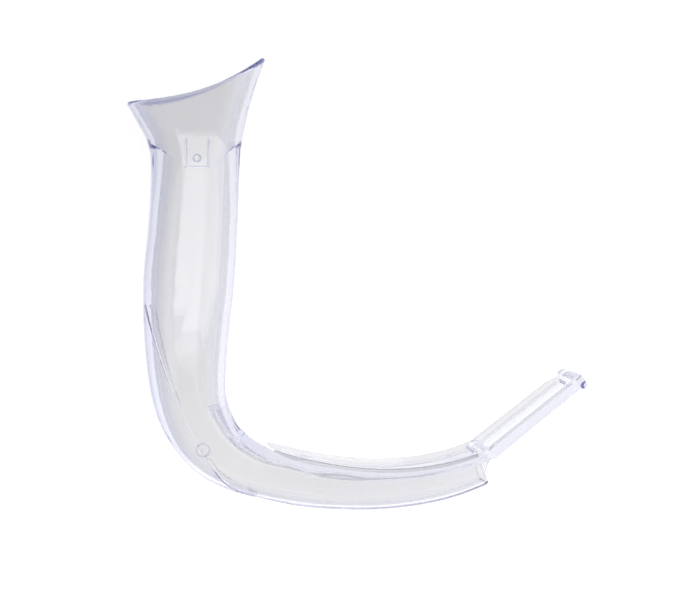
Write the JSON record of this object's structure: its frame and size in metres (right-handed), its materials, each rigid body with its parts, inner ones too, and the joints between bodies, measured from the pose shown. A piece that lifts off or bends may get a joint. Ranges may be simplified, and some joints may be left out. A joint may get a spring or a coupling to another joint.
{
  "type": "video laryngoscope blade",
  "caption": "Clear moulded video laryngoscope blade with a flared mouth, a grip socket for a camera wand, a closed bent channel with an end window, and a slim lifting tongue.",
  "frame": {"origin": "middle of the neck, where the mouth funnel meets the grip, at the head of the wand socket", "axes": "+Y up the grip and out of the mouth, +X along the channel towards the tongue's tip, +Z across the blade; the blade lies on its side"},
  "size_m": [0.1543, 0.1505, 0.0326],
  "materials": {
    "clear_body": "clear moulded polycarbonate, faint violet-blue tint in thick places, high gloss",
    "clear_cover": "clear moulded polycarbonate, faint violet-blue tint in thick places, high gloss",
    "clear_window": "optically flat clear plate",
    "clear_tab": "clear moulded polycarbonate, high gloss"
  },
  "bodies": {
    "sleeve": {"sleeve_body": "clear_body", "blade_cover": "clear_cover", "camera_window": "clear_window"},
    "latch": {"latch_tab": "clear_tab"}
  },
  "joints": [
    {"name": "latch_flex", "type": "hinge", "parent": "sleeve", "child": "latch", "pos_m": [-0.0003, 0.0037, 0.0125], "axis": [1, 0, 0], "range_deg": [-7, 2], "stiffness_Nm_per_rad": 0.05}
  ]
}
